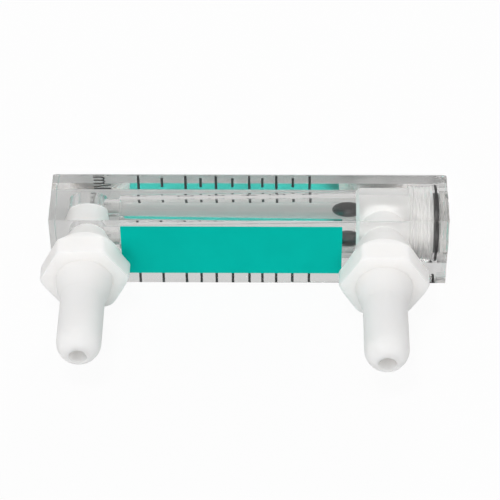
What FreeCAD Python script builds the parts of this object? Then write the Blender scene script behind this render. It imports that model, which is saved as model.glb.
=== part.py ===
import FreeCAD, Part
import Sketcher
import math
import os

# Oxygen flowmeter: a clear acrylic block with a tapered bore, in which a ball
# float rides between the inlet port and the outlet port. It lies on one of its
# long sides. X runs along the block from the inlet end to the plug end, the
# hose fittings point along -Y, the bevelled front with the scale faces +Y, and
# +Z is up. The origin is the middle of the face that it lies on.

SIZES = {
    # Acrylic block, its two front edges bevelled
    "body_length": 106.0,
    "body_width": 23.3,
    "body_depth": 22.6,
    "bevel_depth": 4.9,
    "bevel_width": 4.3,
    # Ports in the back face, the inlet from its own end, the outlet from the plug's
    "inlet_inset": 9.6,
    "outlet_inset": 17.2,
    "port_past_axis": 3.3,
    "drill_tip": 1.2,
    # Ball float
    "float_radius": 4.2,
    "float_gap": 0.1,
    # Bore: the passage under the ball's seat, the taper, the outlet chamber
    "passage_lip": 1.2,
    "bore_start": 18.1,
    "bore_room": 0.15,
    "bore_rise": 1.35,
    "chamber_lead": 7.2,
    "chamber_step": 1.3,
    # End plug: screwed length, neck with its ring, slotted head
    "plug_clearance": 0.35,
    "plug_thread_step": 0.75,
    "plug_neck_step": 1.2,
    "plug_neck_length": 1.8,
    "plug_ring_section": 0.72,
    "plug_head_step": 0.75,
    "plug_head_length": 2.0,
    "plug_head_proud": 0.4,
    "plug_gap": 0.05,
    "slot_width": 1.6,
    "slot_depth": 1.0,
    # Hose fittings: tapered seat, collar, hexagon, shoulder, barb
    "seat_tip_radius": 5.05,
    "seat_root_radius": 7.45,
    "seat_back_off": 1.0,
    "collar_radius": 7.65,
    "inlet_collar": 1.6,
    "outlet_collar": 3.8,
    "hex_flats": 21.0,
    "hex_length": 9.1,
    "hex_back_circle": 8.9,
    "hex_back_rise": 4.0,
    "hex_front_bevel": 0.8,
    "inlet_hex_turn": 3.5,
    "shoulder_radius": 7.4,
    "shoulder_straight": 1.6,
    "shoulder_length": 7.4,
    "barb_radius": 5.85,
    "barb_length": 15.0,
    "gas_radius": 2.4,
    "seal_gap": 0.03,
    # Label on the back face
    "label_start": 18.9,
    "label_lead": 11.0,
    "label_foot": 3.8,
    "label_head": 2.2,
    "label_thickness": 0.12,
}
CUT_MARGIN = 2.0
ROOT_THREE = 1.732051
# Half a side of an octagon whose sides lie 1 from its middle
OCTAGON_HALF_SIDE = 0.414214

document = FreeCAD.newDocument("oxygen_flowmeter")
sheet = document.addObject("Spreadsheet::Sheet", "Sizes")
for row, (alias, number) in enumerate(SIZES.items(), start=1):
    sheet.set("A%d" % row, str(number))
    sheet.setAlias("A%d" % row, alias)
document.recompute()


class Size:
    """A length as a number and as the expression on the sheet that gives it."""

    def __init__(self, number, text):
        self.number = number
        self.text = text

    def join(self, other, sign, number):
        text = other.text if isinstance(other, Size) else other
        return Size(number, "(%s %s %s)" % (self.text, sign, text))

    def __add__(self, other):
        return self.join(other, "+", self.number + plain(other))

    def __sub__(self, other):
        return self.join(other, "-", self.number - plain(other))

    def __mul__(self, other):
        return self.join(other, "*", self.number * plain(other))

    def __truediv__(self, other):
        return self.join(other, "/", self.number / plain(other))


def plain(length):
    """The number behind a size, or the number itself."""
    return length.number if isinstance(length, Size) else float(length)


def size(alias):
    """The size that the sheet holds under this alias."""
    return Size(float(sheet.get(alias)), "Sizes.%s" % alias)


ZERO = 0.0
AXIS_DEPTH = size("body_depth") / 2
AXIS_HEIGHT = size("body_width") / 2
BACK_FACE = size("body_depth") * -0.5
# Places along the block, measured from the inlet end
OUTLET_PLACE = size("body_length") - size("outlet_inset")
BORE_END = OUTLET_PLACE - size("chamber_lead")
NECK_START = size("body_length") - size("plug_head_length") - size("plug_neck_length")
HEAD_START = size("body_length") - size("plug_head_length")
# Radii along the bore, each a step out from the one before
PASSAGE_RADIUS = size("float_radius") - size("passage_lip")
SMALL_RADIUS = size("float_radius") + size("bore_room")
LARGE_RADIUS = SMALL_RADIUS + size("bore_rise")
CHAMBER_RADIUS = LARGE_RADIUS + size("chamber_step")
THREAD_RADIUS = CHAMBER_RADIUS + size("plug_thread_step")
NECK_RADIUS = THREAD_RADIUS - size("plug_neck_step")
RING_BORE = NECK_RADIUS + (size("plug_ring_section") + size("seal_gap")) * 2
HEAD_RADIUS = RING_BORE + size("plug_head_step")
# Ports, and the seats that fill their tapered mouths
PORT_RADIUS = size("seat_tip_radius") + size("seal_gap")
MOUTH_RADIUS = size("seat_root_radius") + size("seal_gap")
SEAT_LENGTH = AXIS_DEPTH - size("seat_back_off")
# The screwed length starts clear of the seat, which is wider where the plug's edge passes
SEAT_TAPER = (size("seat_root_radius") - size("seat_tip_radius")) / SEAT_LENGTH
SEAT_BESIDE_PLUG = size("seat_root_radius") - (AXIS_DEPTH - THREAD_RADIUS) * SEAT_TAPER
PLUG_START = OUTLET_PLACE + SEAT_BESIDE_PLUG + size("plug_clearance")


def along(place):
    """A place measured from the inlet end, in the part's own frame."""
    return place - size("body_length") / 2


def set_down(thing, x, y, z, rotation=FreeCAD.Rotation()):
    """Put a sub-part at a place given by sizes, turned as given."""
    thing.Placement = FreeCAD.Placement(FreeCAD.Vector(0, 0, 0), rotation)
    for name, length in (("x", x), ("y", y), ("z", z)):
        if isinstance(length, Size):
            thing.setExpression("Placement.Base." + name, length.text)


def new_body(name):
    body = document.addObject("PartDesign::Body", name)
    body.Label = name
    return body


def new_primitive(kind, name, **lengths):
    """A Part primitive whose sizes follow the sheet."""
    thing = document.addObject("Part::" + kind, name)
    thing.Label = name
    for property_name, length in lengths.items():
        thing.setExpression(property_name, length.text)
    return thing


def plane_of(body, role):
    """The origin plane or axis of a body that has this role."""
    return [item for item in body.Origin.OriginFeatures if item.Role == role][0]


def arc_between(start, end, radius):
    """The arc of this radius that turns left from start to end."""
    chord = end - start
    left = FreeCAD.Vector(-chord.y, chord.x, 0).normalize()
    reach = math.sqrt(max(radius ** 2 - (chord.Length / 2.0) ** 2, 0.0))
    centre = (start + end) * 0.5 + left * reach
    circle = Part.Circle(centre, FreeCAD.Vector(0, 0, 1), radius)
    angles = [math.atan2(tip.y - centre.y, tip.x - centre.x) for tip in (start, end)]
    return Part.ArcOfCircle(circle, angles[0], angles[1])


def sketch_of(body, name, role, points, arcs=None, lift=None):
    """A closed outline through points given as sizes. arcs holds the radius of
    each side that is an arc, under the number of the point that it starts at."""
    arcs = arcs or {}
    sketch = body.newObject("Sketcher::SketchObject", name)
    sketch.AttachmentSupport = (plane_of(body, role), [""])
    sketch.MapMode = "FlatFace"
    if lift is not None:
        sketch.setExpression("AttachmentOffset.Base.z", lift.text)
    corners = [FreeCAD.Vector(plain(x), plain(y), 0) for x, y in points]
    count = len(corners)
    sides = []
    for index in range(count):
        start, end = corners[index], corners[(index + 1) % count]
        side = Part.LineSegment(start, end)
        if index in arcs:
            side = arc_between(start, end, plain(arcs[index]))
        sides.append(sketch.addGeometry(side))
    for index, side in enumerate(sides):
        following = sides[(index + 1) % count]
        sketch.addConstraint(Sketcher.Constraint("Coincident", side, 2, following, 1))
    for (x, y), side in zip(points, sides):
        for kind, length, axis in (("DistanceX", x, -2), ("DistanceY", y, -1)):
            if plain(length) == 0.0:
                sketch.addConstraint(Sketcher.Constraint("PointOnObject", side, 1, axis))
            else:
                hold(sketch, length, kind, -1, 1, side, 1)
    for index, radius in arcs.items():
        hold(sketch, radius, "Radius", sides[index])
    sketch.Visibility = False
    return sketch


def hold(sketch, length, kind, *where):
    """A constraint whose value follows the sheet."""
    number = sketch.addConstraint(Sketcher.Constraint(kind, *where, length.number))
    sketch.setExpression("Constraints[%d]" % number, length.text)


def turned(body, kind, name, sketch, axis):
    """A Revolution or a Groove of a sketch, all the way round an axis."""
    feature = body.newObject("PartDesign::" + kind, name)
    feature.Profile = sketch
    feature.ReferenceAxis = axis
    feature.Angle = 360.0
    document.recompute()
    return feature


def cut_round(body, name, sketch, axis):
    """A Groove, which has to take something away, or it points the wrong way."""
    groove = turned(body, "Groove", name, sketch, (sketch, [axis]))
    check_cut(groove)
    return groove


def check_cut(feature):
    if not feature.Shape.Volume < feature.BaseFeature.Shape.Volume - 0.001:
        raise RuntimeError("%s cuts nothing" % feature.Name)


def make_meter_body():
    """The acrylic block. Passage, taper, outlet chamber, the plug's screwed bore,
    the ring's bore and the head's recess lie on one axis, and two ports cross it."""
    body = new_body("meter_body")
    depth, width = size("body_depth"), size("body_width")
    bevel_depth, bevel_width = size("bevel_depth"), size("bevel_width")
    block = body.newObject("PartDesign::Pad", "Block")
    block.Profile = sketch_of(body, "BlockSection", "YZ_Plane", [
        (ZERO, ZERO),
        (depth - bevel_depth, ZERO),
        (depth, bevel_width),
        (depth, width - bevel_width),
        (depth - bevel_depth, width),
        (ZERO, width),
    ])
    block.setExpression("Length", size("body_length").text)
    document.recompute()

    gap = size("plug_gap")
    beyond = size("body_length") + CUT_MARGIN
    steps = [
        (size("inlet_inset"), PASSAGE_RADIUS),
        (size("bore_start"), PASSAGE_RADIUS),
        (size("bore_start"), SMALL_RADIUS),
        (BORE_END, LARGE_RADIUS),
        (BORE_END, CHAMBER_RADIUS),
        (PLUG_START - gap, CHAMBER_RADIUS),
        (PLUG_START - gap, THREAD_RADIUS + gap),
        (NECK_START, THREAD_RADIUS + gap),
        (NECK_START, RING_BORE),
        (HEAD_START - gap, RING_BORE),
        (HEAD_START - gap, HEAD_RADIUS + gap),
        (beyond, HEAD_RADIUS + gap),
        (beyond, ZERO),
        (size("inlet_inset"), ZERO),
    ]
    outline = [(place, AXIS_DEPTH + radius) for place, radius in steps]
    profile = sketch_of(body, "BoreProfile", "XY_Plane", outline, lift=AXIS_HEIGHT)
    cut_round(body, "TaperedBore", profile, "Edge%d" % (len(outline) - 1))
    cut_port(body, "Inlet", size("inlet_inset"))
    cut_port(body, "Outlet", OUTLET_PLACE)
    set_down(body, size("body_length") * -0.5, BACK_FACE, ZERO)
    return body


def cut_port(body, name, place):
    """A port from the back face past the bore's axis, its end as a drill leaves
    it, its mouth tapered like the seat that fills it."""
    depth = AXIS_DEPTH + size("port_past_axis")
    outline = [
        (place, ZERO),
        (place + MOUTH_RADIUS, ZERO),
        (place + PORT_RADIUS, SEAT_LENGTH),
        (place + PORT_RADIUS, depth),
        (place, depth + size("drill_tip")),
    ]
    profile = sketch_of(body, name + "PortProfile", "XY_Plane", outline, lift=AXIS_HEIGHT)
    cut_round(body, name + "Port", profile, "Edge%d" % len(outline))


def make_end_plug():
    """The clear plug: screwed length at its crest radius, neck for the ring, head
    with a slot."""
    body = new_body("end_plug")
    thread_end = NECK_START - PLUG_START - size("plug_gap")
    neck_end = HEAD_START - PLUG_START
    whole = neck_end + size("plug_head_length") + size("plug_head_proud")
    profile = sketch_of(body, "PlugProfile", "XY_Plane", [
        (ZERO, ZERO),
        (ZERO, THREAD_RADIUS),
        (thread_end, THREAD_RADIUS),
        (thread_end, NECK_RADIUS),
        (neck_end, NECK_RADIUS),
        (neck_end, HEAD_RADIUS),
        (whole, HEAD_RADIUS),
        (whole, ZERO),
    ])
    turned(body, "Revolution", "PlugTurned", profile, (profile, ["H_Axis"]))

    half = size("slot_width") / 2
    floor = whole - size("slot_depth")
    slot = body.newObject("PartDesign::Pocket", "Slot")
    slot.Profile = sketch_of(body, "SlotOutline", "XY_Plane", [
        (floor, half * -1),
        (whole + CUT_MARGIN, half * -1),
        (whole + CUT_MARGIN, half),
        (floor, half),
    ])
    slot.Midplane = True
    slot.Type = "ThroughAll"
    document.recompute()
    check_cut(slot)
    set_down(body, along(PLUG_START), ZERO, AXIS_HEIGHT)
    return body


def make_fitting(name, collar, place, hex_turn):
    """A hose fitting on its own axis, from its inner end outwards: the tapered
    seat, the collar, the hexagon, the shoulder and the barb with a round end.
    The gas hole runs through it."""
    body = new_body(name)
    shoulder, barb = size("shoulder_radius"), size("barb_radius")
    hex_start = SEAT_LENGTH + collar
    hex_end = hex_start + size("hex_length")
    hex_full = hex_start + size("hex_back_rise")
    shoulder_end = hex_end + size("shoulder_length")
    barb_end = shoulder_end + size("barb_length")
    tip = barb_end + barb
    profile = sketch_of(body, name + "Profile", "XZ_Plane", [
        (ZERO, ZERO),
        (size("seat_tip_radius"), ZERO),
        (size("seat_root_radius"), SEAT_LENGTH),
        (size("collar_radius"), SEAT_LENGTH),
        (size("collar_radius"), hex_full),
        (shoulder, hex_full),
        (shoulder, hex_end + size("shoulder_straight")),
        (barb, shoulder_end),
        (barb, barb_end),
        (ZERO, tip),
    ], arcs={8: barb})
    turned(body, "Revolution", name + "Turned", profile, (profile, ["V_Axis"]))

    corner = size("hex_flats") / ROOT_THREE
    hexagon = body.newObject("PartDesign::AdditivePrism", name + "Hexagon")
    hexagon.Polygon = 6
    hexagon.AttachmentSupport = (plane_of(body, "XY_Plane"), [""])
    hexagon.MapMode = "FlatFace"
    hexagon.setExpression("AttachmentOffset.Base.z", hex_start.text)
    hexagon.setExpression("Circumradius", corner.text)
    hexagon.setExpression("Height", size("hex_length").text)
    document.recompute()

    beyond = corner + CUT_MARGIN
    circle, bevel = size("hex_back_circle"), size("hex_front_bevel")
    rise = size("hex_back_rise") * (beyond - circle) / (corner - circle)
    back = sketch_of(body, name + "BackBevel", "XZ_Plane", [
        (circle, hex_start),
        (beyond, hex_start),
        (beyond, hex_start + rise),
    ])
    cut_round(body, name + "BackCut", back, "V_Axis")
    front = sketch_of(body, name + "FrontBevel", "XZ_Plane", [
        (corner - bevel, hex_end),
        (beyond, hex_end),
        (beyond, hex_end - bevel - CUT_MARGIN),
    ])
    cut_round(body, name + "FrontCut", front, "V_Axis")

    hole = sketch_of(body, name + "GasHole", "XZ_Plane", [
        (ZERO, ZERO),
        (size("gas_radius"), ZERO),
        (size("gas_radius"), tip + CUT_MARGIN),
        (ZERO, tip + CUT_MARGIN),
    ])
    cut_round(body, name + "GasCut", hole, "V_Axis")

    outwards = FreeCAD.Rotation(FreeCAD.Vector(1, 0, 0), 90)
    twist = FreeCAD.Rotation(FreeCAD.Vector(0, 0, 1), hex_turn)
    set_down(body, along(place), BACK_FACE + SEAT_LENGTH, AXIS_HEIGHT, outwards.multiply(twist))
    return body


def make_plug_ring():
    """The ring on the plug's neck. Neck, bore and shoulders press its round
    section flat on every side, to an octagon."""
    body = new_body("plug_o_ring")
    section = size("plug_ring_section")
    radius = NECK_RADIUS + size("seal_gap") + section
    half_side = section * OCTAGON_HALF_SIDE
    signs = [(1, 1), (-1, 1), (-1, -1), (1, -1)]
    corners = []
    for index, (across, out) in enumerate(signs):
        flat_end = (half_side * across, radius + section * out)
        side_end = (section * across, radius + half_side * out)
        corners += [side_end, flat_end] if index % 2 == 0 else [flat_end, side_end]
    profile = sketch_of(body, "RingSection", "XY_Plane", corners)
    turned(body, "Revolution", "RingTurned", profile, (profile, ["H_Axis"]))
    set_down(body, along((NECK_START + HEAD_START - size("plug_gap")) / 2), ZERO, AXIS_HEIGHT)
    return body


def make_float():
    """The ball float. Lying down, it has rolled along the bore's low side to the
    plug end, where the outlet fitting's seat stops it."""
    radius, gap = size("float_radius"), size("float_gap")
    ball = new_primitive("Sphere", "float_ball", Radius=radius)
    place = OUTLET_PLACE - size("seat_tip_radius") - radius - gap
    taper = size("bore_rise") / (BORE_END - size("bore_start"))
    wall = SMALL_RADIUS + (place - size("bore_start")) * taper
    set_down(ball, along(place), ZERO, AXIS_HEIGHT - wall + radius + gap)
    return ball


def make_label():
    """The coloured label on the back face, behind the bore."""
    width = size("body_width") - size("label_foot") - size("label_head")
    length = OUTLET_PLACE - size("label_lead") - size("label_start")
    label = new_primitive("Box", "back_label",
                          Length=length, Width=size("label_thickness"), Height=width)
    set_down(label, along(size("label_start")), BACK_FACE - size("label_thickness"),
             size("label_foot"))
    return label


sub_parts = [
    make_meter_body(),
    make_end_plug(),
    make_plug_ring(),
    make_fitting("inlet_fitting", size("inlet_collar"), size("inlet_inset"),
                 plain(size("inlet_hex_turn"))),
    make_fitting("outlet_fitting", size("outlet_collar"), OUTLET_PLACE, ZERO),
    make_float(),
    make_label(),
]
document.recompute()

for thing in document.Objects:
    if "Invalid" in thing.State or "Error" in thing.State:
        raise RuntimeError("%s failed: %s" % (thing.Label, ", ".join(thing.State)))
for part in sub_parts:
    if part.Shape.isNull() or not part.Shape.isValid() or not part.Shape.Solids:
        raise RuntimeError("%s has no valid solid" % part.Label)

os.makedirs("parts", exist_ok=True)
for part in sub_parts:
    part.Shape.exportStep("parts/%s.step" % part.Label)
    box = part.Shape.BoundBox
    print("%-16s %d solid, %9.1f mm3, X %7.2f %7.2f, Y %7.2f %7.2f, Z %6.2f %6.2f" % (
        part.Label, len(part.Shape.Solids), part.Shape.Volume,
        box.XMin, box.XMax, box.YMin, box.YMax, box.ZMin, box.ZMax))
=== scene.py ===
import math

import bmesh
import bpy
import numpy as np
from bpy.props import FloatProperty, FloatVectorProperty, PointerProperty
from bpy.types import Operator, Panel, PropertyGroup
from mathutils import Matrix, Quaternion, Vector


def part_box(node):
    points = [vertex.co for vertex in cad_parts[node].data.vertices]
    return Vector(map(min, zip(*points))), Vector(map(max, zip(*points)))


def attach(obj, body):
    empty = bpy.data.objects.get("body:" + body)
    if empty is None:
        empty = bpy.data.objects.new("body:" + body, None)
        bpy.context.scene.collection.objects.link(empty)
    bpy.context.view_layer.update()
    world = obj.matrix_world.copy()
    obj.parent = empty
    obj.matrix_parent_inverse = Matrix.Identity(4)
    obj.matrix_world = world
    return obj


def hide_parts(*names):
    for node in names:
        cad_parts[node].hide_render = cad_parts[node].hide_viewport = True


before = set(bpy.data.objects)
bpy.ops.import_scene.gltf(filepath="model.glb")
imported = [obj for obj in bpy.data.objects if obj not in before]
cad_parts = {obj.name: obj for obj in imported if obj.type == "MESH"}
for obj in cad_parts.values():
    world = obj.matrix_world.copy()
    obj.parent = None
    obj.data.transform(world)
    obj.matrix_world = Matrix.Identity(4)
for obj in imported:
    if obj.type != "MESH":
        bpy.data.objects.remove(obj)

bl_info = {
    "name": "Oxygen flowmeter",
    "version": (1, 0, 0),
    "blender": (4, 5, 0),
    "location": "3D View > Sidebar > Flowmeter",
    "description": "Dresses the solids of a block flowmeter: clear block, ball, plug, fittings, scale",
    "category": "Object",
}

MM = 0.001

# Places that come from the solids, in metres. X runs from the inlet end to the plug
# end, the fittings point along -Y, and the block lies on the floor.
BLOCK_LOW, BLOCK_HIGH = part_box("meter_body")
PLUG_LOW, PLUG_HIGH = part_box("end_plug")
LABEL_LOW, LABEL_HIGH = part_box("back_label")
BALL_LOW, BALL_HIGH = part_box("float_ball")
INLET_LOW, INLET_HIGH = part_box("inlet_fitting")
OUTLET_LOW, OUTLET_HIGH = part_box("outlet_fitting")
PLUG_RING_LOW, PLUG_RING_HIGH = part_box("plug_o_ring")
AXIS_Z = (BLOCK_LOW.z + BLOCK_HIGH.z) / 2
INLET_X = (INLET_LOW.x + INLET_HIGH.x) / 2
OUTLET_X = (OUTLET_LOW.x + OUTLET_HIGH.x) / 2
BACK_Y, FRONT_Y = BLOCK_LOW.y, BLOCK_HIGH.y

# How finely round forms are divided
ROUND_COLUMNS = 160
FITTING_COLUMNS = 192
BALL_COLUMNS = 96
BALL_ROWS = 65
THREAD_ROWS = 90
SHOULDER_ROWS = 14
DOME_ROWS = 18

# How far a cutter reaches past what it cuts
OVERSHOOT = 1 * MM

# The printed scale: the marks' places in millimetres from the inlet end, long and
# short in turn, and how deep under the front face the ink lies and how thick it is
MARK_PLACES = (22.5, 28.95, 35.4, 39.5, 43.7, 48.2, 52.8, 56.4, 60.2, 64.7, 69.3)
INK_DEPTH = 0.04 * MM
INK_THICKNESS = 0.02 * MM

# The camera: its direction and roll in degrees, its focal length in pixels of the
# picture, the picture's width in pixels, the sensor's width in millimetres, and its place
CAMERA_AZIMUTH = 1.16
CAMERA_ELEVATION = 44.61
CAMERA_ROLL = -0.64
CAMERA_PIXELS = 2292.0
PICTURE_PIXELS = 500.0
SENSOR_WIDTH = 36.0
CAMERA_PLACE = (9.1 * MM, -447.18 * MM, 442.51 * MM)

# The lamps: name, place and diameter in metres, power in watts, and whether gloss
# shows the lamp
LAMPS = (
    ("key", (-0.1, -0.95, 0.55), 0.8, 4.4, True),
    ("back", (0.15, 0.9, 0.18), 0.32, 5.0, False),
    ("top", (-0.2, -0.1, 1.0), 0.3, 2.2, False),
)

# The room's level as a light, as the acrylic shows it, and as the camera sees it
ROOM_LIGHT, ROOM_IN_ACRYLIC, ROOM_SEEN = 0.53, 0.64, 1.0

# The floor's half width and place, and how much of it the camera sees as plain white
FLOOR_HALF = 3.0
FLOOR_Z = -0.05 * MM
FLOOR_WHITE = 0.93


def hex_linear(code):
    """An sRGB hex colour as linear red, green, blue and alpha."""
    channels = [int(code[at:at + 2], 16) / 255 for at in (1, 3, 5)]
    return [c / 12.92 if c <= 0.04045 else ((c + 0.055) / 1.055) ** 2.4 for c in channels] + [1.0]


def length_property(name, description, millimetres):
    """A setting for a length."""
    return FloatProperty(name=name, description=description, default=millimetres * MM,
                         precision=5, subtype="DISTANCE", unit="LENGTH")


def colour_property(name, description, code):
    """A setting for a colour."""
    return FloatVectorProperty(name=name, description=description, default=hex_linear(code),
                               size=4, min=0.0, max=1.0, subtype="COLOR")


class FlowmeterSizes(PropertyGroup):
    """The sizes that the solids' boxes don't give"""
    bevel_depth: length_property("Bevel depth", "Bevel on the block's side faces", 4.9)
    bevel_width: length_property("Bevel width", "Bevel on the block's front face", 4.3)
    edge_break: length_property("Edge break", "Flat left on every cut edge of the block", 0.06)
    bore_start: length_property("Bore start", "Where the taper starts, from the inlet end", 18.1)
    bore_end: length_property("Bore end", "Where the taper ends, from the inlet end", 81.6)
    passage_radius: length_property("Passage radius", "Hole under the ball's seat", 3.0)
    bore_small: length_property("Bore small end", "Radius of the taper at the inlet end", 4.35)
    bore_large: length_property("Bore large end", "Radius of the taper at the outlet end", 5.7)
    chamber_radius: length_property("Chamber radius", "Radius of the outlet chamber", 7.0)
    port_radius: length_property("Port radius", "Radius of a port past its tapered mouth", 5.2)
    drill_point: length_property("Drill point", "Length of the cone where the chamber starts", 0.9)
    port_past_axis: length_property("Port past axis", "How far a port runs past the axis", 3.3)
    drill_tip: length_property("Drill tip", "Depth of the cone that the drill leaves", 1.2)
    thread_radius: length_property("Plug thread radius", "Crest radius of the plug's thread", 7.75)
    thread_pitch: length_property("Plug thread pitch", "Pitch of the plug's thread", 1.0)
    thread_groove: length_property("Plug thread depth", "Depth of the plug's thread", 0.5)
    neck_radius: length_property("Neck radius", "Radius of the plug's neck under its ring", 6.55)
    neck_length: length_property("Neck length", "Length of the plug's neck", 1.8)
    head_length: length_property("Head length", "Length of the plug's head in the block", 2.0)
    head_radius: length_property("Head radius", "Radius of the plug's head", 8.8)
    plug_gap: length_property("Plug gap", "Clearance round the plug", 0.05)
    plug_edge: length_property("Plug edge", "Rounding of the plug's edges", 0.12)
    ring_gap: length_property("Ring gap", "Clearance round the rubber ring", 0.03)
    slot_width: length_property("Slot width", "Width of the screwdriver slot", 1.6)
    slot_depth: length_property("Slot depth", "Depth of the screwdriver slot", 1.0)
    seat_tip: length_property("Seat tip", "Radius of a tapered seat at its inner end", 5.05)
    seat_root: length_property("Seat root", "Radius of a tapered seat at the collar", 7.45)
    seat_depth: length_property("Seat depth", "Length of a fitting's tapered seat", 10.3)
    mouth_short: length_property("Mouth short", "How far before a seat's tip its mouth ends", 0.2)
    sealed: length_property("Sealed", "How far a sealed or glued surface reaches in", 0.03)
    collar_radius: length_property("Collar radius", "Radius of a fitting's collar", 7.65)
    inlet_collar: length_property("Inlet collar", "Length of the inlet fitting's collar", 1.6)
    outlet_collar: length_property("Outlet collar", "Length of the outlet fitting's collar", 3.8)
    hex_flats: length_property("Hexagon", "Width of the hexagon across its flats", 21.0)
    hex_length: length_property("Hexagon length", "Length of the hexagon", 9.1)
    hex_circle: length_property("Hexagon circle", "Radius where its back bevel starts", 8.9)
    hex_rise: length_property("Hexagon rise", "Length of the hexagon's back bevel", 4.0)
    hex_bevel: length_property("Hexagon front bevel", "Bevel on the hexagon's front corners", 0.8)
    inlet_turn: FloatProperty(name="Inlet turn", description="Turn of the inlet fitting's hexagon",
                              default=math.radians(3.5), subtype="ANGLE", unit="ROTATION")
    shoulder_radius: length_property("Shoulder radius", "Radius of the shoulder", 7.4)
    shoulder_straight: length_property("Shoulder straight", "Straight stretch of the shoulder", 1.6)
    shoulder_length: length_property("Shoulder length", "Length of the shoulder", 7.4)
    barb_radius: length_property("Barb radius", "Radius of the barb", 5.85)
    barb_length: length_property("Barb length", "Straight length of the barb", 15.0)
    gas_radius: length_property("Gas hole radius", "Radius of the hole through a fitting", 2.4)
    moulded_edge: length_property("Moulded edge", "Rounding of the fittings' edges", 0.3)
    label_corner: length_property("Label corner", "Radius of the label's corners", 0.3)
    mark_width: length_property("Mark width", "Width of a scale mark", 0.7)
    long_mark: length_property("Long mark", "Length of a long scale mark", 9.3)
    short_mark: length_property("Short mark", "Length of a short scale mark", 6.5)
    marks_middle: length_property("Marks middle", "Height of the marks' middle over the floor", 9.3)
    numeral_height: length_property("Numeral height", "Height of the numerals", 4.6)
    numeral_gap: length_property("Numeral gap", "Gap between a long mark and its numeral", 0.5)
    unit_place: length_property("Unit place", "Foot of the unit's letters, from the inlet end", 10.2)
    unit_height: length_property("Unit height", "Height of the unit's tall letters", 4.8)
    unit_margin: length_property("Unit margin", "Gap between the unit and the front bevels", 0.25)


class FlowmeterColours(PropertyGroup):
    """The colours of the pieces and of the floor"""
    acrylic: colour_property("Acrylic", "Cast acrylic, clear", "#FEFDFC")
    nylon: colour_property("Nylon", "Moulded natural nylon", "#F3F1EF")
    rubber: colour_property("Rubber", "Nitrile rubber", "#1B1A1A")
    ball: colour_property("Ball", "Polished black ball", "#0C0C0D")
    label: colour_property("Label", "Printed film", "#00BEB0")
    ink: colour_property("Ink", "Screen printing ink", "#101214")
    # The glued side's paler teal is painted light, standing in for the light that reaches it inside
    # the block
    label_painted_light: colour_property("Label, glued side", "Print that the acrylic shows", "#44DCCF")
    floor: colour_property("Floor", "Pale paper", "#E6E6E6")
    # Paper seen through the acrylic is darker: painted shade for the block's shadow on the paper under
    # it
    floor_painted_shade: colour_property("Floor in acrylic", "Paper as the acrylic shows it", "#C2C2C2")


def settings():
    """The sizes and the colours that the panel shows."""
    scene = bpy.context.scene
    return scene.flowmeter_sizes, scene.flowmeter_colours


# Surfaces


def eased(stops, radius, steps=4):
    """Rounds each inner corner of an open line of stops: the corner is replaced by
    a quadratic curve between points that lie at most radius from it."""
    stops = np.asarray(stops, dtype=float)
    before, corner, after = stops[:-2], stops[1:-1], stops[2:]
    back, ahead = before - corner, after - corner
    back_length = np.linalg.norm(back, axis=1, keepdims=True)
    ahead_length = np.linalg.norm(ahead, axis=1, keepdims=True)
    reach = np.minimum(radius, np.minimum(back_length, ahead_length) * 0.45)
    start, end = corner + back / back_length * reach, corner + ahead / ahead_length * reach
    share = np.linspace(0.0, 1.0, steps + 1)[None, :, None]
    curve = ((1 - share) ** 2 * start[:, None] + 2 * share * (1 - share) * corner[:, None]
             + share ** 2 * end[:, None])
    return np.vstack([stops[:1], curve.reshape(-1, 2), stops[-1:]])


def lathe(stops, columns):
    """A turned surface: each stop (along, radius) goes round the X axis, so a point
    is (along, radius cos angle, radius sin angle)."""
    angle = np.linspace(0.0, math.tau, columns, endpoint=False)
    along, radius = stops[:, :1], stops[:, 1:2]
    return np.stack([along + 0 * angle, radius * np.cos(angle), radius * np.sin(angle)], axis=-1)


def helix_groove(place, angle, pitch, depth, start, end):
    """How deep a V thread is at a place along the block: a triangle wave of the turns
    made so far, less the angle, which fades in and out over a pitch at both ends.
    The wave is a little too high and cut level, which leaves a narrow flat root."""
    peak = 1.15
    turn = np.mod(place / pitch - angle / math.tau, 1.0)
    vee = np.clip(peak - peak * np.abs(2.0 * turn - 1.0), 0, 1)
    fade = np.clip((place - start) / pitch, 0, 1) * np.clip((end - place) / pitch, 0, 1)
    return depth * vee * fade


def grid_mesh(name, points, closed_rows=False):
    """Quads between neighbouring points of a grid, closed round its columns, and
    round its rows too if asked. Rows that shrink to a point become a pole."""
    rows, columns = points.shape[:2]
    row = np.arange(rows if closed_rows else rows - 1)[:, None]
    column = np.arange(columns)[None, :]
    next_row, next_column = (row + 1) % rows, (column + 1) % columns
    quads = np.stack([row * columns + column, next_row * columns + column,
                      next_row * columns + next_column, row * columns + next_column], axis=-1)
    mesh = bpy.data.meshes.new(name)
    mesh.from_pydata(points.reshape(-1, 3).tolist(), [], quads.reshape(-1, 4).tolist())
    return mesh


def shade(mesh, crease):
    """Shades a mesh smooth up to the crease, in degrees."""
    mesh.shade_smooth()
    mesh.set_sharp_from_angle(angle=math.radians(crease))


def finish_mesh(mesh, crease=30.0):
    """Merges doubles, turns faces outwards and shades smooth up to the crease."""
    work = bmesh.new()
    work.from_mesh(mesh)
    bmesh.ops.remove_doubles(work, verts=work.verts, dist=1e-7)
    bmesh.ops.recalc_face_normals(work, faces=work.faces)
    work.to_mesh(mesh)
    work.free()
    shade(mesh, crease)
    return mesh


def piece(name, mesh, body, material, slot, *nodes):
    """A finished mesh as a piece that rides on a body and stands for CAD nodes."""
    thing = bpy.data.objects.new(name, mesh)
    bpy.context.scene.collection.objects.link(thing)
    mesh.materials.clear()
    mesh.materials.append(material)
    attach(thing, body)
    if nodes:
        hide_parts(*nodes)
    return thing


def placed(points, x, y, z):
    """Points moved by x, y and z."""
    return points + np.array([x, y, z])


# Materials


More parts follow.
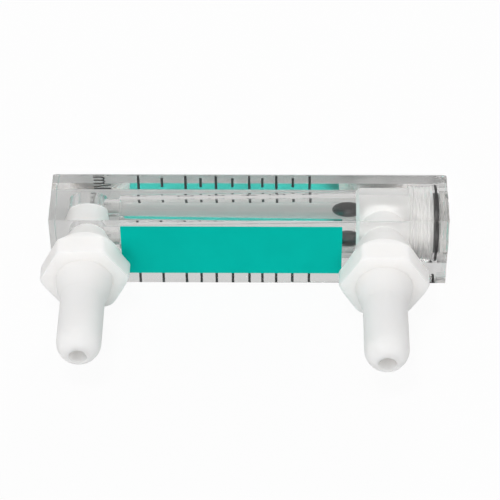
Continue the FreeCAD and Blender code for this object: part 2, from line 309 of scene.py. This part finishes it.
def add_node(tree, kind, links=(), **values):
    """Adds a shader node. values set its own properties or its input sockets, and
    links holds (socket of this node, other node, socket of the other node)."""
    node = tree.nodes.new("ShaderNode" + kind)
    for name, value in values.items():
        if hasattr(node, name):
            setattr(node, name, value)
        elif name[:5] == "input":
            node.inputs[int(name[5:])].default_value = value
        else:
            label = name.replace("_", " ").lower()
            socket = [item for item in node.inputs if item.name.lower() == label][0]
            socket.default_value = value
    for socket, other, output in links:
        tree.links.new(other.outputs[output], node.inputs[socket])
    return node


def new_material(name):
    """An empty material and its node tree."""
    material = bpy.data.materials.new(name)
    material.use_nodes = True
    tree = material.node_tree
    tree.nodes.clear()
    return material, tree


def object_noise(tree, grain, detail=2.0):
    """Noise over Object coordinates, whose cycle is about one grain's size."""
    place = add_node(tree, "TexCoord")
    return add_node(tree, "TexNoise", [("Vector", place, "Object")],
                    Scale=1 / grain, Detail=detail, Roughness=0.5)


def cast_acrylic(name, haze, wave, frost=0.0):
    """Cast acrylic sheet, flame polished outside and cut inside. The polish leaves a
    faint wave, some 6 mm from crest to crest; cut walls are hazier, and the coarser
    the cut, the more of the wall is frosted white. Light goes straight through to
    what the block holds, so a ball or a label inside is lit as if it lay open."""
    colours = settings()[1]
    material, tree = new_material(name)
    noise = object_noise(tree, 6 * MM)
    bump = add_node(tree, "Bump", [("Height", noise, 0)], Strength=wave, Distance=0.05 * MM)
    shader = add_node(tree, "BsdfPrincipled", [("Normal", bump, 0)],
                      Base_Color=colours.acrylic[:], Roughness=haze, IOR=1.49,
                      Transmission_Weight=1.0 - frost)
    clear = add_node(tree, "BsdfTransparent", Color=(1.0, 1.0, 1.0, 1.0))
    path = add_node(tree, "LightPath")
    mixed = add_node(tree, "MixShader",
                     [(0, path, "Is Shadow Ray"), (1, shader, 0), (2, clear, 0)])
    add_node(tree, "OutputMaterial", [("Surface", mixed, 0)])
    return material


def moulded_nylon():
    """Natural nylon, injection moulded. Light goes some millimetres into it, so
    shadows stay soft. The mould's spark-eroded walls leave a satin skin of 0.4 mm
    grain, and the flow of the melt makes its gloss vary over some 9 mm."""
    colours = settings()[1]
    material, tree = new_material("moulded_nylon")
    grain = object_noise(tree, 0.4 * MM, detail=3.0)
    cloud = object_noise(tree, 9 * MM)
    gloss = add_node(tree, "MapRange", [("Value", cloud, 0)], To_Min=0.42, To_Max=0.56)
    bump = add_node(tree, "Bump", [("Height", grain, 0)], Strength=0.12, Distance=0.02 * MM)
    shader = add_node(tree, "BsdfPrincipled", [("Normal", bump, 0), ("Roughness", gloss, 0)],
                      Base_Color=colours.nylon[:], IOR=1.53, Subsurface_Weight=0.95,
                      Subsurface_Radius=(1.0, 0.97, 0.94), Subsurface_Scale=8 * MM,
                      Specular_IOR_Level=0.3)
    add_node(tree, "OutputMaterial", [("Surface", shader, 0)])
    return material


def nitrile_rubber():
    """Moulded nitrile rubber with a little grease on it, so it has a dull gloss that
    varies over half a millimetre."""
    colours = settings()[1]
    material, tree = new_material("nitrile_rubber")
    grain = object_noise(tree, 0.5 * MM, detail=3.0)
    gloss = add_node(tree, "MapRange", [("Value", grain, 0)], To_Min=0.28, To_Max=0.45)
    bump = add_node(tree, "Bump", [("Height", grain, 0)], Strength=0.1, Distance=0.02 * MM)
    shader = add_node(tree, "BsdfPrincipled", [("Normal", bump, 0), ("Roughness", gloss, 0)],
                      Base_Color=colours.rubber[:], IOR=1.52)
    add_node(tree, "OutputMaterial", [("Surface", shader, 0)])
    return material


def polished_ball():
    """A ground and polished ball: black and glossy, and faintly cloudy over 1.5 mm."""
    colours = settings()[1]
    material, tree = new_material("polished_ball")
    cloud = object_noise(tree, 1.5 * MM)
    gloss = add_node(tree, "MapRange", [("Value", cloud, 0)], To_Min=0.16, To_Max=0.24)
    shader = add_node(tree, "BsdfPrincipled", [("Roughness", gloss, 0)],
                      Base_Color=colours.ball[:], IOR=1.6)
    add_node(tree, "OutputMaterial", [("Surface", shader, 0)])
    return material


def printed_film(name, teal):
    """Vinyl film printed in one teal and stuck on the back face. The ink lies a
    little unevenly, over some 8 mm, and its face is matt. The glued side, which shows
    through the acrylic, is made paler: painted light for the light that reaches it."""
    material, tree = new_material(name)
    cloud = object_noise(tree, 8 * MM, detail=3.0)
    thick_ink_share = 0.86
    deep = [channel * thick_ink_share for channel in teal[:3]] + [1.0]
    colour = add_node(tree, "Mix", [("Factor", cloud, 0)], data_type="RGBA",
                      input6=deep, input7=teal[:])
    shader = add_node(tree, "BsdfPrincipled", [("Base Color", colour, 2)],
                      Roughness=0.5, IOR=1.5, Specular_IOR_Level=0.02)
    add_node(tree, "OutputMaterial", [("Surface", shader, 0)])
    return material


def printing_ink():
    """Screen printed epoxy ink: black and matt, with the mesh's 0.3 mm unevenness."""
    colours = settings()[1]
    material, tree = new_material("printing_ink")
    grain = object_noise(tree, 0.3 * MM)
    gloss = add_node(tree, "MapRange", [("Value", grain, 0)], To_Min=0.5, To_Max=0.7)
    shader = add_node(tree, "BsdfPrincipled", [("Roughness", gloss, 0)],
                      Base_Color=colours.ink[:], IOR=1.5)
    add_node(tree, "OutputMaterial", [("Surface", shader, 0)])
    return material


def level_by_ray(tree, lighting, through_glass, camera):
    """A number that depends on the ray that looks: one for rays that carry light,
    one for rays that acrylic or gloss has turned, one for the camera's own."""
    path = add_node(tree, "LightPath")
    turned = add_node(tree, "Math",
                      [(0, path, "Is Glossy Ray"), (1, path, "Is Transmission Ray")],
                      operation="MAXIMUM")
    level = add_node(tree, "Math", [(0, turned, 0)], operation="MULTIPLY_ADD",
                     input1=through_glass - lighting, input2=lighting)
    return add_node(tree, "Math", [(0, path, "Is Camera Ray"), (2, level, 0)],
                    operation="MULTIPLY_ADD", input1=camera - lighting)


def pale_paper():
    """The studio's floor: pale matt paper. The camera sees it mostly as plain white,
    with a share of the object's shadow left in, and the acrylic shows it greyer: painted
    shade for the block's shadow on the paper under it."""
    colours = settings()[1]
    material, tree = new_material("pale_paper")
    # Rays turned by the acrylic or by gloss get the darker paper, which is painted shade for the
    # block's shadow
    inside = level_by_ray(tree, 0.0, 1.0, 0.0)
    colour = add_node(tree, "Mix", [("Factor", inside, 0)], data_type="RGBA",
                      input6=colours.floor[:], input7=colours.floor_painted_shade[:])
    paper = add_node(tree, "BsdfPrincipled", [("Base Color", colour, 2)],
                     Roughness=0.95, Specular_IOR_Level=0.0)
    white = add_node(tree, "Emission", Color=(1.0, 1.0, 1.0, 1.0), Strength=1.0)
    share = level_by_ray(tree, 0.0, 0.0, FLOOR_WHITE)
    shader = add_node(tree, "MixShader", [(0, share, 0), (1, paper, 0), (2, white, 0)])
    add_node(tree, "OutputMaterial", [("Surface", shader, 0)])
    return material


# Pieces


def screwed_places(sizes):
    """Where the plug's screwed length starts and ends, from the inlet end."""
    end = BLOCK_HIGH.x - BLOCK_LOW.x - sizes.head_length - sizes.neck_length
    return PLUG_LOW.x - BLOCK_LOW.x, end


def bore_stops(sizes):
    """The bore from the inlet port to the plug end, as (place from the inlet end,
    radius) stops. The screwed stretch has its root radius and close stops."""
    length = BLOCK_HIGH.x - BLOCK_LOW.x
    plug_start, neck_start = screwed_places(sizes)
    head_start = length - sizes.head_length
    gap = sizes.plug_gap
    ring_bore = (PLUG_RING_HIGH.z - PLUG_RING_LOW.z) / 2 + sizes.ring_gap
    longest_stretch = 4 * MM
    screwed = np.linspace(plug_start - gap, neck_start, THREAD_ROWS)
    return np.vstack([
        split_long(np.array([
            (INLET_X - BLOCK_LOW.x, 0.0),
            (INLET_X - BLOCK_LOW.x, sizes.passage_radius),
            (sizes.bore_start, sizes.passage_radius),
            (sizes.bore_start, sizes.bore_small),
            (sizes.bore_end, sizes.bore_large),
            (sizes.bore_end + sizes.drill_point, sizes.chamber_radius),
            (plug_start - gap, sizes.chamber_radius),
        ]), longest_stretch),
        np.stack([screwed, np.full_like(screwed, sizes.thread_radius + gap)], axis=1),
        [
            (neck_start, ring_bore),
            (head_start - gap, ring_bore),
            (head_start - gap, sizes.head_radius + gap),
            (length + OVERSHOOT, sizes.head_radius + gap),
            (length + OVERSHOOT, 0.0),
        ],
    ])


def with_thread(points, stops, sizes, radius):
    """Draws the rows that lie at a radius in by the thread's groove, round X."""
    angle = np.linspace(0.0, math.tau, points.shape[1], endpoint=False)
    start, end = screwed_places(sizes)
    groove = helix_groove(stops[:, :1], angle, sizes.thread_pitch, sizes.thread_groove, start, end)
    threaded = np.abs(stops[:, 1:2] - radius) < 0.0001 * MM
    points[..., 1:] *= (1 - np.where(threaded, groove / radius, 0.0))[..., None]
    return points


def split_long(stops, longest):
    """Adds evenly spaced stops to any stretch that is longer than longest."""
    parts = [stops[:1]]
    for start, end in zip(stops[:-1], stops[1:]):
        count = max(1, math.ceil(np.linalg.norm(end - start) / longest))
        share = np.linspace(0, 1, count + 1)[1:, None]
        parts.append(start + (end - start) * share)
    return np.vstack(parts)


def block_outside(sizes):
    """The block's section, six corners each broken by a small flat, carried along X
    and drawn in by the same flat at both ends."""
    depth, width = FRONT_Y - BACK_Y, BLOCK_HIGH.z - BLOCK_LOW.z
    corners = np.array([
        (0, 0), (depth - sizes.bevel_depth, 0), (depth, sizes.bevel_width),
        (depth, width - sizes.bevel_width), (depth - sizes.bevel_depth, width), (0, width)])
    before, after = np.roll(corners, 1, axis=0), np.roll(corners, -1, axis=0)
    cut = sizes.edge_break
    to_before = (before - corners) / np.linalg.norm(before - corners, axis=1, keepdims=True)
    to_after = (after - corners) / np.linalg.norm(after - corners, axis=1, keepdims=True)
    outline = np.stack([corners + to_before * cut, corners + to_after * cut], axis=1)
    outline = outline.reshape(-1, 2)
    middle = np.array([depth / 2, width / 2])
    drawn_in = middle + (outline - middle) * (1 - cut / (depth / 2))
    rings = [(0.0, middle + 0 * outline), (0.0, drawn_in), (cut, outline)]
    rings += [(BLOCK_HIGH.x - BLOCK_LOW.x - along, ring) for along, ring in reversed(rings)]
    return np.array([np.column_stack([np.full(len(ring), along), ring]) for along, ring in rings])


def cut_away(thing, mesh):
    """Cuts a closed mesh out of a piece, and lines the cut with the mesh's materials."""
    cutter = bpy.data.objects.new("cutter", mesh)
    bpy.context.scene.collection.objects.link(cutter)
    modifier = thing.modifiers.new("cut", "BOOLEAN")
    modifier.operation, modifier.solver, modifier.object = "DIFFERENCE", "EXACT", cutter
    modifier.material_mode = "TRANSFER"
    bpy.context.view_layer.update()
    seen = bpy.context.evaluated_depsgraph_get()
    cut = bpy.data.meshes.new_from_object(thing.evaluated_get(seen))
    thing.modifiers.clear()
    thing.data = cut
    bpy.data.objects.remove(cutter)


def port_stops(sizes):
    """A port as (depth from the back face, radius) stops: the mouth that the seat
    wets, the straight port past it, and the cone that the drill leaves."""
    depth = (FRONT_Y - BACK_Y) / 2 + sizes.port_past_axis
    taper = (sizes.seat_root - sizes.seat_tip) / sizes.seat_depth
    before = 0.5 * MM
    mouth = sizes.seat_depth - sizes.mouth_short
    return np.array([
        (-before, 0.0),
        (-before, sizes.seat_root + taper * before - sizes.sealed),
        (mouth, sizes.seat_tip + taper * sizes.mouth_short - sizes.sealed),
        (mouth, sizes.port_radius),
        (depth, sizes.port_radius),
        (depth + sizes.drill_tip, 0.0),
    ])


def lined_cutter(points, walls, wall_of_row):
    """A closed mesh to cut with. Each row of it carries the finish that it leaves."""
    mesh = grid_mesh("cutter", points)
    wall = np.repeat(wall_of_row, points.shape[1]).astype(np.int32)
    mesh.polygons.foreach_set("material_index", wall)
    for material in walls:
        mesh.materials.append(material)
    return finish_mesh(mesh)


class FLOWMETER_OT_block(Operator):
    """Make the clear acrylic block with its tapered bore and ports"""
    bl_idname = "flowmeter.block"
    bl_label = "Acrylic block"

    def execute(self, context):
        sizes = settings()[0]
        polished = cast_acrylic("polished_acrylic", 0.0, 0.25)
        walls = [
            cast_acrylic("reamed_acrylic", 0.02, 0.3),
            cast_acrylic("drilled_acrylic", 0.22, 0.5),
            cast_acrylic("bored_acrylic", 0.45, 0.4, frost=0.45),
            cast_acrylic("faced_acrylic", 0.7, 0.2, frost=0.9),
            cast_acrylic("tapped_acrylic", 0.2, 0.0, frost=0.45),
        ]
        reamed, drilled, bored, faced, tapped = range(len(walls))
        mesh = finish_mesh(grid_mesh("clear_block", placed(
            block_outside(sizes), BLOCK_LOW.x, BACK_Y, BLOCK_LOW.z)))
        block = piece("clear_block", mesh, "housing", polished, "clear_acrylic", "meter_body")
        stops = bore_stops(sizes)
        bore = with_thread(lathe(stops, ROUND_COLUMNS), stops, sizes,
                           sizes.thread_radius + sizes.plug_gap)
        plug_start, neck_start = screwed_places(sizes)
        ends = [sizes.bore_end, sizes.bore_end + sizes.drill_point, plug_start, neck_start]
        finishes = np.array([reamed, faced, bored, tapped, reamed])
        # A row takes the finish of the stretch of bore that its middle lies in
        between = (stops[:-1, 0] + stops[1:, 0]) / 2
        bore_finishes = finishes[np.searchsorted(ends, between)]
        bore = placed(bore, BLOCK_LOW.x, 0.0, AXIS_Z)
        cut_away(block, lined_cutter(bore, walls, bore_finishes))
        port = lathe(port_stops(sizes), ROUND_COLUMNS)[..., [1, 0, 2]]
        port_finishes = np.array([reamed, reamed, reamed, drilled, drilled])
        for x in (INLET_X, OUTLET_X):
            placed_port = placed(port, x, BACK_Y, AXIS_Z)
            cut_away(block, lined_cutter(placed_port, walls, port_finishes))
        shade(block.data, crease=20.0)
        return {"FINISHED"}


class FLOWMETER_OT_plug(Operator):
    """Make the clear screwed plug with its thread and screwdriver slot"""
    bl_idname = "flowmeter.plug"
    bl_label = "End plug"

    def execute(self, context):
        sizes = settings()[0]
        whole = PLUG_HIGH.x - PLUG_LOW.x
        neck_end = BLOCK_HIGH.x - sizes.head_length - PLUG_LOW.x
        thread_end = neck_end - sizes.neck_length - sizes.plug_gap
        threaded = np.linspace(0.0, thread_end, THREAD_ROWS)
        thread_foot = sizes.thread_radius - 0.001 * MM
        stops = np.vstack([
            [(0.0, 0.0)],
            np.stack([threaded, np.full_like(threaded, sizes.thread_radius)], axis=1),
            eased([(thread_end, thread_foot), (thread_end, sizes.neck_radius),
                   (neck_end, sizes.neck_radius), (neck_end, sizes.head_radius),
                   (whole, sizes.head_radius), (whole, 0.0)], sizes.plug_edge),
        ])
        stops += [PLUG_LOW.x - BLOCK_LOW.x, 0.0]
        points = with_thread(lathe(stops, ROUND_COLUMNS), stops, sizes, sizes.thread_radius)
        crease = 25.0
        mesh = grid_mesh("screw_plug", placed(points, BLOCK_LOW.x, 0.0, AXIS_Z))
        turned = cast_acrylic("turned_acrylic", 0.02, 0.2)
        plug = piece("screw_plug", finish_mesh(mesh, crease), "housing", turned,
                     "clear_acrylic", "end_plug")
        half, reach = sizes.slot_width / 2, sizes.head_radius + OVERSHOOT
        low = Vector((PLUG_HIGH.x - sizes.slot_depth, -half, AXIS_Z - reach))
        high = Vector((PLUG_HIGH.x + OVERSHOOT, half, AXIS_Z + reach))
        slot = bmesh.new()
        bmesh.ops.create_cube(slot, size=1.0, matrix=Matrix.LocRotScale(
            (low + high) / 2, None, high - low))
        slot_mesh = bpy.data.meshes.new("slot")
        slot.to_mesh(slot_mesh)
        slot.free()
        slot_mesh.materials.append(turned)
        cut_away(plug, slot_mesh)
        shade(plug.data, crease)
        return {"FINISHED"}


def ring_points(radius, half_width, half_height, rows=40):
    """A pressed ring about X. Its section is a squared circle: the cube of the share
    across and the cube of the share out add up to 1. It is carried round the radius."""
    turn = np.linspace(0.0, math.tau, rows, endpoint=False)
    across, out = np.cos(turn), np.sin(turn)
    reach = (np.abs(across) ** 3 + np.abs(out) ** 3) ** (-1 / 3)
    section = np.stack([half_width * across * reach, radius + half_height * out * reach], axis=1)
    return lathe(section, ROUND_COLUMNS)


class FLOWMETER_OT_ring(Operator):
    """Make the rubber ring on the plug's neck"""
    bl_idname = "flowmeter.ring"
    bl_label = "Rubber ring"

    def execute(self, context):
        sizes = settings()[0]
        half = (PLUG_RING_HIGH.x - PLUG_RING_LOW.x) / 2
        radius = (PLUG_RING_HIGH.z - PLUG_RING_LOW.z) / 2 - half + sizes.sealed
        points = ring_points(radius, half, half + sizes.sealed)
        points = placed(points, PLUG_RING_LOW.x + half, 0.0, AXIS_Z)
        mesh = finish_mesh(grid_mesh("plug_ring", points, closed_rows=True), crease=60.0)
        piece("plug_ring", mesh, "housing", nitrile_rubber(), "black_rubber", "plug_o_ring")
        return {"FINISHED"}


def hexagon_radius(angle, across_flats, turn):
    """Radius of a turned hexagon with softly rounded corners at an angle: the six
    flats' own radii, joined by a power mean."""
    normals = turn + math.pi / 6 + np.arange(6) * math.pi / 3
    facing = np.clip(np.cos(angle[:, None] - normals[None, :]), 0.0, None)
    sharpness = 70.0
    return across_flats / 2 / np.sum(facing ** sharpness, axis=1) ** (1 / sharpness)


def shoulder_stops(sizes, start, end):
    """The bowed shoulder from the hexagon down to the barb: a quadratic curve whose
    middle point lies 55% of the way along and 38% of the way down."""
    bow = np.linspace(0.0, 1.0, SHOULDER_ROWS)[:, None]
    along, down = 0.55, 0.38
    top = np.array([start, sizes.shoulder_radius])
    foot = np.array([end, sizes.barb_radius])
    knee = top * (1 - np.array([along, down])) + foot * np.array([along, down])
    return (1 - bow) ** 2 * top + 2 * bow * (1 - bow) * knee + bow ** 2 * foot


def fitting_points(sizes, collar, turn):
    """A fitting as rows of (distance out from the block's back face, limit): each
    row's radius is the smaller of its limit and the hexagon, softly joined. The
    rows run out along the outside and back down the gas hole."""
    corner = sizes.hex_flats / math.sqrt(3.0)
    hex_end = collar + sizes.hex_length
    shoulder_start = hex_end + sizes.shoulder_straight
    shoulder_end = hex_end + sizes.shoulder_length
    barb_end = shoulder_end + sizes.barb_length
    bevel = sizes.hex_bevel
    longest_stretch = 2 * MM
    lip_angle = math.asin(sizes.gas_radius / sizes.barb_radius)
    dome_angle = np.linspace(0.0, math.pi / 2 - lip_angle, DOME_ROWS)
    dome = np.stack([barb_end + sizes.barb_radius * np.sin(dome_angle),
                     sizes.barb_radius * np.cos(dome_angle)], axis=1)
    outside = np.vstack([
        split_long(eased([
            (-sizes.seat_depth, sizes.gas_radius), (-sizes.seat_depth, sizes.seat_tip),
            (0.0, sizes.seat_root), (0.0, sizes.collar_radius),
        ], sizes.moulded_edge), longest_stretch),
        eased([
            (0.0, sizes.collar_radius), (collar, sizes.collar_radius),
            (collar, sizes.hex_circle), (collar + sizes.hex_rise, corner),
            (hex_end - bevel, corner), (hex_end, corner - bevel),
            (hex_end, sizes.shoulder_radius), (shoulder_start, sizes.shoulder_radius),
        ], sizes.moulded_edge),
        shoulder_stops(sizes, shoulder_start, shoulder_end)[1:],
        dome,
    ])
    tip = dome[-1, 0]
    lip_radius, hole_radius = sizes.gas_radius * 0.985, sizes.gas_radius * 0.97
    lip_depth, narrowing = 0.25 * MM, 4 * MM
    inner_chamfer = 0.2 * MM
    hole = np.array([
        (tip - lip_depth, lip_radius),
        (tip - narrowing, hole_radius),
        (inner_chamfer - sizes.seat_depth, hole_radius),
    ])
    rows = np.vstack([outside, split_long(hole, longest_stretch)])
    angle = np.linspace(0.0, math.tau, FITTING_COLUMNS, endpoint=False)
    hexagon = hexagon_radius(angle, sizes.hex_flats, turn)[None, :]
    limit = rows[:, 1:2]
    power = 80.0
    radius = limit * (1 + (limit / hexagon) ** power) ** (-1 / power)
    out = -rows[:, :1] + 0 * angle
    return np.stack([radius * np.cos(angle), out, radius * np.sin(angle)], axis=-1)


class FLOWMETER_OT_fittings(Operator):
    """Make the two moulded hose fittings"""
    bl_idname = "flowmeter.fittings"
    bl_label = "Hose fittings"

    def execute(self, context):
        sizes = settings()[0]
        nylon = moulded_nylon()
        for name, node, x, collar, turn in (
                ("inlet_hose_fitting", "inlet_fitting", INLET_X, sizes.inlet_collar,
                 sizes.inlet_turn),
                ("outlet_hose_fitting", "outlet_fitting", OUTLET_X, sizes.outlet_collar, 0.0)):
            points = placed(fitting_points(sizes, collar, turn), x, BACK_Y, AXIS_Z)
            mesh = finish_mesh(grid_mesh(name, points, closed_rows=True), crease=35.0)
            piece(name, mesh, "housing", nylon, "white_nylon", node)
        return {"FINISHED"}


class FLOWMETER_OT_float(Operator):
    """Make the ball float"""
    bl_idname = "flowmeter.float"
    bl_label = "Ball float"

    def execute(self, context):
        radius = (BALL_HIGH.z - BALL_LOW.z) / 2
        centre = (BALL_LOW + BALL_HIGH) / 2
        turn = np.linspace(0.0, math.pi, BALL_ROWS)
        stops = np.stack([-radius * np.cos(turn), radius * np.sin(turn)], axis=1)
        points = placed(lathe(stops, BALL_COLUMNS), *centre)
        mesh = finish_mesh(grid_mesh("ball_float", points), crease=60.0)
        piece("ball_float", mesh, "float", polished_ball(), "black_float", "float_ball")
        return {"FINISHED"}


def plate_points(low, high, corner, steps=6):
    """A plate, thin along Y, with rounded corners. Its outline is a rectangle's corner
    points pushed out by a circle of the corner's radius."""
    wide, thin = [0, 2], 1
    centre, half = (low + high) / 2, (high - low) / 2
    turn = np.linspace(0.0, math.pi / 2, steps)
    quarter = np.arange(4)[:, None] * math.pi / 2
    angle = (turn[None, :] + quarter).ravel()
    signs = np.array([(1, 1), (-1, 1), (-1, -1), (1, -1)], dtype=float)
    inner = signs * (half[wide] - corner)
    arc = corner * np.stack([np.cos(angle), np.sin(angle)], axis=1)
    outline = np.repeat(inner, steps, axis=0) + arc
    rows = [(0.0, low), (1.0, low), (1.0, high), (0.0, high)]
    points = np.zeros((4, len(outline), 3))
    for row, (share, side) in enumerate(rows):
        points[row][:, wide] = centre[wide] + outline * share
        points[row][:, thin] = side[thin]
    return points


class FLOWMETER_OT_label(Operator):
    """Make the teal label on the back face"""
    bl_idname = "flowmeter.label"
    bl_label = "Back label"

    def execute(self, context):
        sizes, colours = settings()
        glued = np.array([0.0, sizes.sealed, 0.0])
        points = plate_points(np.array(LABEL_LOW), np.array(LABEL_HIGH) + glued,
                              sizes.label_corner)
        mesh = finish_mesh(grid_mesh("label_film", points))
        face = printed_film("printed_film", colours.label)
        piece("label_film", mesh, "housing", face, "teal_label", "back_label")
        # The glued side gets the paler teal: painted light for the light inside the block
        mesh.materials.append(printed_film("glued_film_painted_light", colours.label_painted_light))
        normals = np.empty(len(mesh.polygons) * 3)
        mesh.polygons.foreach_get("normal", normals)
        on_glued_side = (normals[1::3] > 0.5).astype(np.int32)
        mesh.polygons.foreach_set("material_index", on_glued_side)
        return {"FINISHED"}


def printed_text(name, words, foot, top, left, right=None):
    """Words as a thin mesh under the front face, read from the front with the plug
    end up. Foot and top are places along X, left and right are heights, and
    without a right the words keep their own width."""
    curve = bpy.data.curves.new(name, "FONT")
    curve.body, curve.resolution_u = words, 6
    text = bpy.data.objects.new(name + "_curve", curve)
    bpy.context.scene.collection.objects.link(text)
    bpy.context.view_layer.update()
    seen = bpy.context.evaluated_depsgraph_get()
    mesh = bpy.data.meshes.new_from_object(text.evaluated_get(seen))
    bpy.data.objects.remove(text)
    flat = np.empty(len(mesh.vertices) * 3)
    mesh.vertices.foreach_get("co", flat)
    across, up = flat[0::3], flat[1::3]
    tall = (top - foot) / np.ptp(up)
    wide = tall if right is None else (right - left) / np.ptp(across)
    points = np.stack([foot + (up - up.min()) * tall, np.full_like(up, FRONT_Y - INK_DEPTH),
                       left + (across - across.min()) * wide], axis=1)
    mesh.vertices.foreach_set("co", points.ravel())
    mesh.name = name
    thicken = bmesh.new()
    thicken.from_mesh(mesh)
    bmesh.ops.solidify(thicken, geom=thicken.faces, thickness=INK_THICKNESS)
    thicken.to_mesh(mesh)
    thicken.free()
    return mesh


class FLOWMETER_OT_scale(Operator):
    """Print the scale on the front face: marks, plain numbers and the unit"""
    bl_idname = "flowmeter.scale"
    bl_label = "Printed scale"

    def execute(self, context):
        sizes = settings()[0]
        ink = printing_ink()
        middle_z = BLOCK_LOW.z + sizes.marks_middle
        nearly_round = sizes.mark_width * 0.49
        for number, place in enumerate(MARK_PLACES, start=1):
            is_long = number % 2 == 1
            length = sizes.long_mark if is_long else sizes.short_mark
            middle = np.array([BLOCK_LOW.x + place * MM, FRONT_Y - INK_DEPTH, middle_z])
            half = np.array([sizes.mark_width, INK_THICKNESS, length]) / 2
            points = plate_points(middle - half, middle + half, nearly_round)
            name = "scale_mark_%02d" % number
            piece(name, finish_mesh(grid_mesh(name, points)), "housing", ink, "black_float")
            if is_long:
                words = str((number + 1) // 2)
                name = "numeral_" + words
                foot = middle[0] - sizes.numeral_height / 2
                side = middle_z + sizes.long_mark / 2 + sizes.numeral_gap
                numeral = printed_text(name, words, foot, foot + sizes.numeral_height, side)
                piece(name, finish_mesh(numeral), "housing", ink, "black_float")
        foot = BLOCK_LOW.x + sizes.unit_place
        margin = sizes.bevel_width + sizes.unit_margin
        unit = printed_text("unit", "l/min", foot, foot + sizes.unit_height,
                            BLOCK_LOW.z + margin, BLOCK_HIGH.z - margin)
        piece("unit_words", finish_mesh(unit), "housing", ink, "black_float")
        return {"FINISHED"}


# Stage


def add_lamp(name, place, size, power, in_gloss):
    """A round lamp that faces the origin. It is found by direct sampling alone, and
    the acrylic doesn't show it, because its images there would be hard white bands."""
    light = bpy.data.lights.new(name, "AREA")
    light.shape, light.size, light.energy = "DISK", size, power
    light.cycles.use_multiple_importance_sampling = False
    thing = bpy.data.objects.new(name, light)
    thing.location = place
    thing.rotation_mode = "QUATERNION"
    thing.rotation_quaternion = (-Vector(place)).to_track_quat("-Z", "Y")
    thing.visible_transmission = False
    thing.visible_glossy = in_gloss
    bpy.context.scene.collection.objects.link(thing)


def add_floor():
    """A square of pale paper just under the block."""
    mesh = bpy.data.meshes.new("studio_floor")
    half, z = FLOOR_HALF, FLOOR_Z
    mesh.from_pydata([(-half, -half, z), (half, -half, z), (half, half, z), (-half, half, z)],
                     [], [(0, 1, 2, 3)])
    mesh.materials.append(pale_paper())
    floor = bpy.data.objects.new("studio_floor", mesh)
    bpy.context.scene.collection.objects.link(floor)


def add_room():
    """An even white room all round."""
    world = bpy.data.worlds.new("soft_room")
    world.use_nodes = True
    tree = world.node_tree
    tree.nodes.clear()
    level = level_by_ray(tree, ROOM_LIGHT, ROOM_IN_ACRYLIC, ROOM_SEEN)
    light = add_node(tree, "Background", [("Strength", level, 0)], Color=(1.0, 1.0, 1.0, 1.0))
    add_node(tree, "OutputWorld", [("Surface", light, 0)])
    bpy.context.scene.world = world


def add_camera():
    """The camera at the photograph's place, direction and roll."""
    camera = bpy.data.cameras.new("camera")
    camera.sensor_width = SENSOR_WIDTH
    camera.lens = SENSOR_WIDTH * CAMERA_PIXELS / PICTURE_PIXELS
    camera.clip_start, camera.clip_end = 0.01, 10.0
    thing = bpy.data.objects.new("camera", camera)
    azimuth, elevation = math.radians(CAMERA_AZIMUTH), math.radians(CAMERA_ELEVATION)
    back = Vector((math.sin(azimuth) * math.cos(elevation),
                   -math.cos(azimuth) * math.cos(elevation), math.sin(elevation)))
    roll = Quaternion((0.0, 0.0, 1.0), math.radians(CAMERA_ROLL))
    thing.location = CAMERA_PLACE
    thing.rotation_mode = "QUATERNION"
    thing.rotation_quaternion = (-back).to_track_quat("-Z", "Y") @ roll
    bpy.context.scene.collection.objects.link(thing)
    bpy.context.scene.camera = thing


class FLOWMETER_OT_stage(Operator):
    """Make the floor, the soft light and the camera"""
    bl_idname = "flowmeter.stage"
    bl_label = "Stage"

    def execute(self, context):
        context.scene.view_settings.view_transform = "Standard"
        cycles = context.scene.cycles
        cycles.max_bounces, cycles.glossy_bounces, cycles.transmission_bounces = 24, 16, 24
        add_floor()
        add_room()
        for lamp in LAMPS:
            add_lamp(*lamp)
        add_camera()
        return {"FINISHED"}


class FLOWMETER_PT_panel(Panel):
    """The flowmeter's sizes, colours and steps"""
    bl_idname = "FLOWMETER_PT_panel"
    bl_label = "Oxygen flowmeter"
    bl_space_type = "VIEW_3D"
    bl_region_type = "UI"
    bl_category = "Flowmeter"

    def draw(self, context):
        for step in STEPS:
            self.layout.operator(step.bl_idname)
        for group in (context.scene.flowmeter_sizes, context.scene.flowmeter_colours):
            box = self.layout.box()
            for name in group.bl_rna.properties.keys():
                if name not in ("rna_type", "name"):
                    box.prop(group, name)


STEPS = (FLOWMETER_OT_block, FLOWMETER_OT_plug, FLOWMETER_OT_ring, FLOWMETER_OT_fittings,
         FLOWMETER_OT_float, FLOWMETER_OT_label, FLOWMETER_OT_scale, FLOWMETER_OT_stage)
CLASSES = (FlowmeterSizes, FlowmeterColours) + STEPS + (FLOWMETER_PT_panel,)


def register():
    for item in CLASSES:
        bpy.utils.register_class(item)
    bpy.types.Scene.flowmeter_sizes = PointerProperty(type=FlowmeterSizes)
    bpy.types.Scene.flowmeter_colours = PointerProperty(type=FlowmeterColours)


def unregister():
    del bpy.types.Scene.flowmeter_colours
    del bpy.types.Scene.flowmeter_sizes
    for item in reversed(CLASSES):
        bpy.utils.unregister_class(item)


def main():
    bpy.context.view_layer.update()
    register()
    bpy.ops.flowmeter.block()
    bpy.ops.flowmeter.plug()
    bpy.ops.flowmeter.ring()
    bpy.ops.flowmeter.fittings()
    bpy.ops.flowmeter.float()
    bpy.ops.flowmeter.label()
    bpy.ops.flowmeter.scale()
    bpy.ops.flowmeter.stage()


if __name__ == "__main__":
    main()
